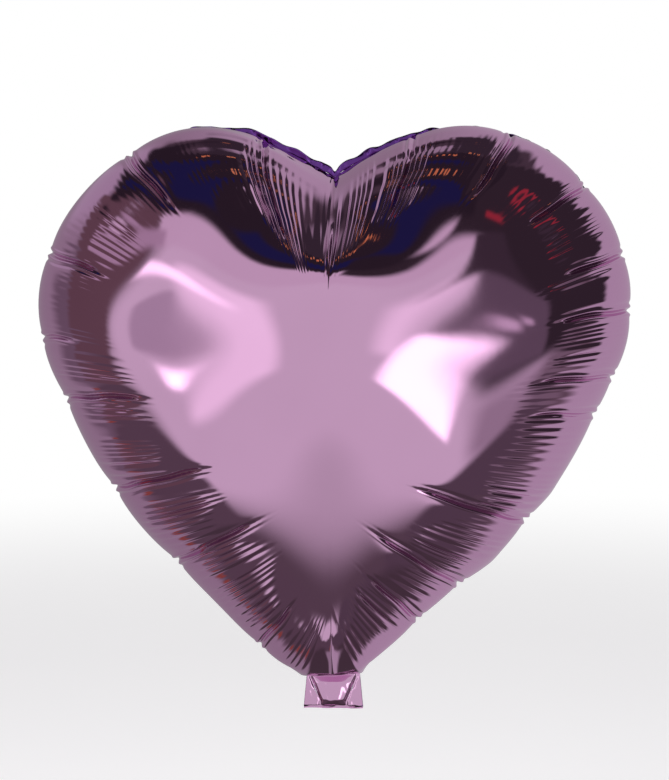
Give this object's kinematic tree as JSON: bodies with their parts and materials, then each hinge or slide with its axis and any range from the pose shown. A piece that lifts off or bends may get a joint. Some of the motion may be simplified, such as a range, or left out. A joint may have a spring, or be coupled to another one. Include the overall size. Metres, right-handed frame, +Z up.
{
  "type": "heart foil balloon",
  "caption": "Inflated heart-shaped metallised foil balloon with a welded gathered edge, a short flat inflation tail and a self-sealing valve inside.",
  "frame": {"origin": "centre of the neck line, where the heart's tip meets the flat tail and a ribbon is tied", "axes": "+Z up through the cleft, +X to the right seen from the front, the front panel bulges towards -Y"},
  "size_m": [0.381, 0.192, 0.3835],
  "materials": {
    "mauve_foil": "mirror-bright metallised film, mauve tint",
    "violet_seal": "crinkled heat-sealed metallised film",
    "clear_film": "clear thin film",
    "release_coat": "matt printed coat"
  },
  "bodies": {
    "balloon": {"front_panel": "mauve_foil", "back_panel": "mauve_foil", "perimeter_seal": "violet_seal"},
    "tail": {"tail_front_ply": "mauve_foil", "tail_back_ply": "mauve_foil", "tail_seal_left": "violet_seal", "tail_seal_right": "violet_seal", "valve_mouth_front_film": "clear_film", "valve_mouth_back_film": "clear_film"},
    "valve_sleeve": {"valve_front_film": "clear_film", "valve_back_film": "clear_film", "valve_seal_left": "clear_film", "valve_seal_right": "clear_film", "valve_release_coat": "release_coat"}
  },
  "joints": [
    {"name": "tail_fold", "type": "hinge", "parent": "balloon", "child": "tail", "pos_m": [0, 0, 0], "axis": [1, 0, 0], "range_deg": [-70, 70]},
    {"name": "valve_swing", "type": "hinge", "parent": "balloon", "child": "valve_sleeve", "pos_m": [0, 0, 0.003], "axis": [1, 0, 0], "range_deg": [-15, 15], "stiffness_Nm_per_rad": 0.001}
  ]
}
